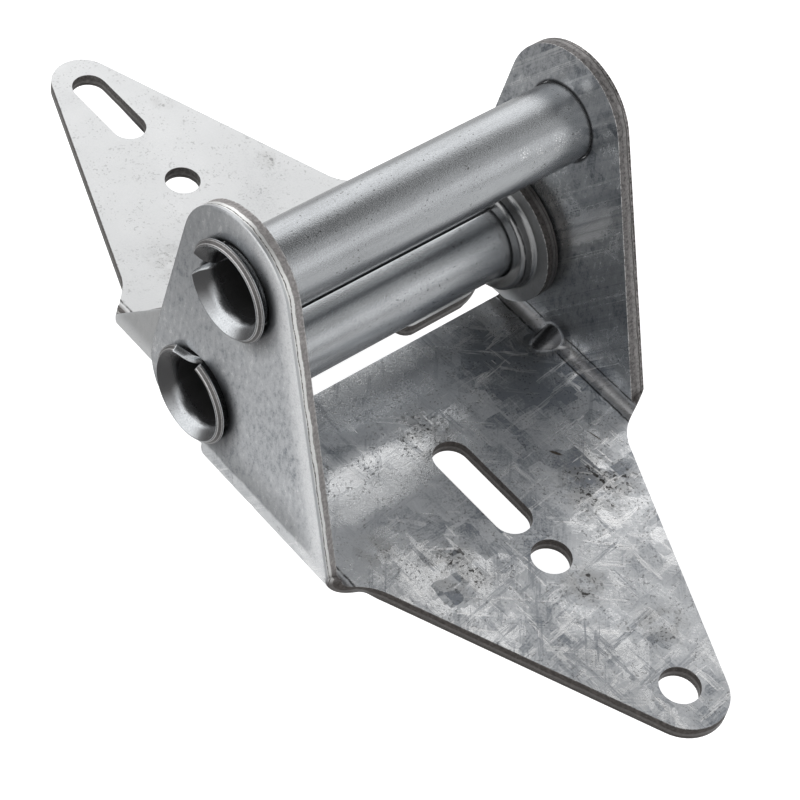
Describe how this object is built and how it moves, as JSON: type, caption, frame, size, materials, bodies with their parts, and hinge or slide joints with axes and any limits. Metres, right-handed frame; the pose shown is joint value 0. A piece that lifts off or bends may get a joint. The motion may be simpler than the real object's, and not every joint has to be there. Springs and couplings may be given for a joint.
{
  "type": "garage door hinge",
  "caption": "Galvanised steel garage door hinge: folded bracket with two ears, pivoting leaf, hinge tube and roller tube.",
  "frame": {"origin": "on the pivot axis, midway between the outer faces of the bracket's two ears", "axes": "+X along the pivot axis, +Y towards the leaf with the bracket's flange at -Y, +Z from the flange up through the ears to the roller tube"},
  "size_m": [0.0866, 0.2018, 0.069],
  "materials": {
    "bracket_steel": "galvanised, spangled, satin",
    "leaf_steel": "galvanised, satin",
    "tube_steel": "galvanised, fine matte grain"
  },
  "bodies": {
    "bracket": {"bracket": "bracket_steel"},
    "leaf": {"leaf": "leaf_steel"},
    "pivot_tube": {"pivot_tube": "tube_steel"},
    "roller_tube": {"roller_tube": "tube_steel"}
  },
  "joints": [
    {"name": "leaf_hinge", "type": "hinge", "parent": "bracket", "child": "leaf", "pos_m": [0, 0, 0], "axis": [1, 0, 0], "range_deg": [-6, 105]},
    {"name": "pivot_tube_turn", "type": "hinge", "parent": "bracket", "child": "pivot_tube", "pos_m": [0, 0, 0], "axis": [1, 0, 0], "continuous": true},
    {"name": "roller_tube_turn", "type": "hinge", "parent": "bracket", "child": "roller_tube", "pos_m": [0, -0.006, 0.034], "axis": [1, 0, 0], "continuous": true}
  ]
}
